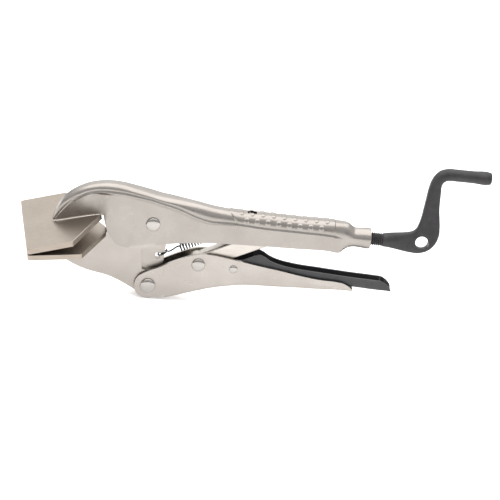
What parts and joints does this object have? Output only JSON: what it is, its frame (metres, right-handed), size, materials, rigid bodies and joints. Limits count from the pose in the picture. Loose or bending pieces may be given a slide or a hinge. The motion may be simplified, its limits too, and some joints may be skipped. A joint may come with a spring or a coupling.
{
  "type": "hand seamer",
  "caption": "Locking sheet-metal pliers with wide flat jaws, an over-centre link, a release lever and an adjusting screw with a bent crank.",
  "frame": {"origin": "middle of the upper jaw plate's front lower edge, where the jaw tips meet", "axes": "+X along the tool and parallel to the adjusting screw, towards the crank; +Z from the lower handle to the upper one; Y along every pivot"},
  "size_m": [0.3294, 0.0826, 0.1173],
  "materials": {
    "nickel_sheet": "satin nickel plate",
    "nickel_jaw": "satin nickel plate",
    "nickel_link": "satin nickel plate",
    "jaw_steel": "brushed nickel plate",
    "rivet_steel": "polished domed heads",
    "black_lever": "black coating, semi-gloss",
    "black_spring": "black oxide wire",
    "screw_black": "black oxide on forged steel"
  },
  "bodies": {
    "body": {"main_body": "nickel_sheet", "upper_jaw_plate": "jaw_steel", "jaw_pivot_rivet": "rivet_steel", "tension_spring": "black_spring"},
    "jaw": {"lower_jaw": "nickel_jaw", "lower_jaw_plate": "jaw_steel"},
    "handle": {"lower_handle": "nickel_sheet", "handle_pivot_rivet": "rivet_steel", "link_pivot_rivet": "rivet_steel", "release_pivot_rivet": "rivet_steel"},
    "link": {"toggle_link": "nickel_link"},
    "lever": {"release_lever": "black_lever"},
    "cap": {"thrust_cap": "screw_black"},
    "crank": {"crank_screw": "screw_black"}
  },
  "joints": [
    {"name": "jaw_pivot", "type": "hinge", "parent": "body", "child": "jaw", "pos_m": [0.09, 0, 0.0177], "axis": [0, -1, 0], "range_deg": [0, 20], "deforming": ["tension_spring"]},
    {"name": "handle_pivot", "type": "hinge", "parent": "jaw", "child": "handle", "pos_m": [0.0927, 0, -0.0307], "axis": [0, 1, 0], "range_deg": [0, 68]},
    {"name": "link_pivot", "type": "hinge", "parent": "handle", "child": "link", "pos_m": [0.1266, 0, -0.0107], "axis": [0, -1, 0], "range_deg": [0, 86]},
    {"name": "release_pivot", "type": "hinge", "parent": "handle", "child": "lever", "pos_m": [0.152, 0, -0.0111], "axis": [0, -1, 0], "range_deg": [0, 9]},
    {"name": "screw_feed", "type": "slide", "parent": "body", "child": "cap", "axis": [1, 0, 0], "range_m": [0, 0.0361]},
    {"name": "crank_turn", "type": "hinge", "parent": "cap", "child": "crank", "pos_m": [0.25, 0, 0.0204], "axis": [1, 0, 0], "range_deg": [0, 8640]}
  ],
  "couplings": [
    {"joint": "handle_pivot", "follows": "jaw_pivot", "ratio": 3.4},
    {"joint": "link_pivot", "follows": "jaw_pivot", "ratio": 4.3},
    {"joint": "screw_feed", "follows": "crank_turn", "m_per_rad": 0.00023873}
  ]
}
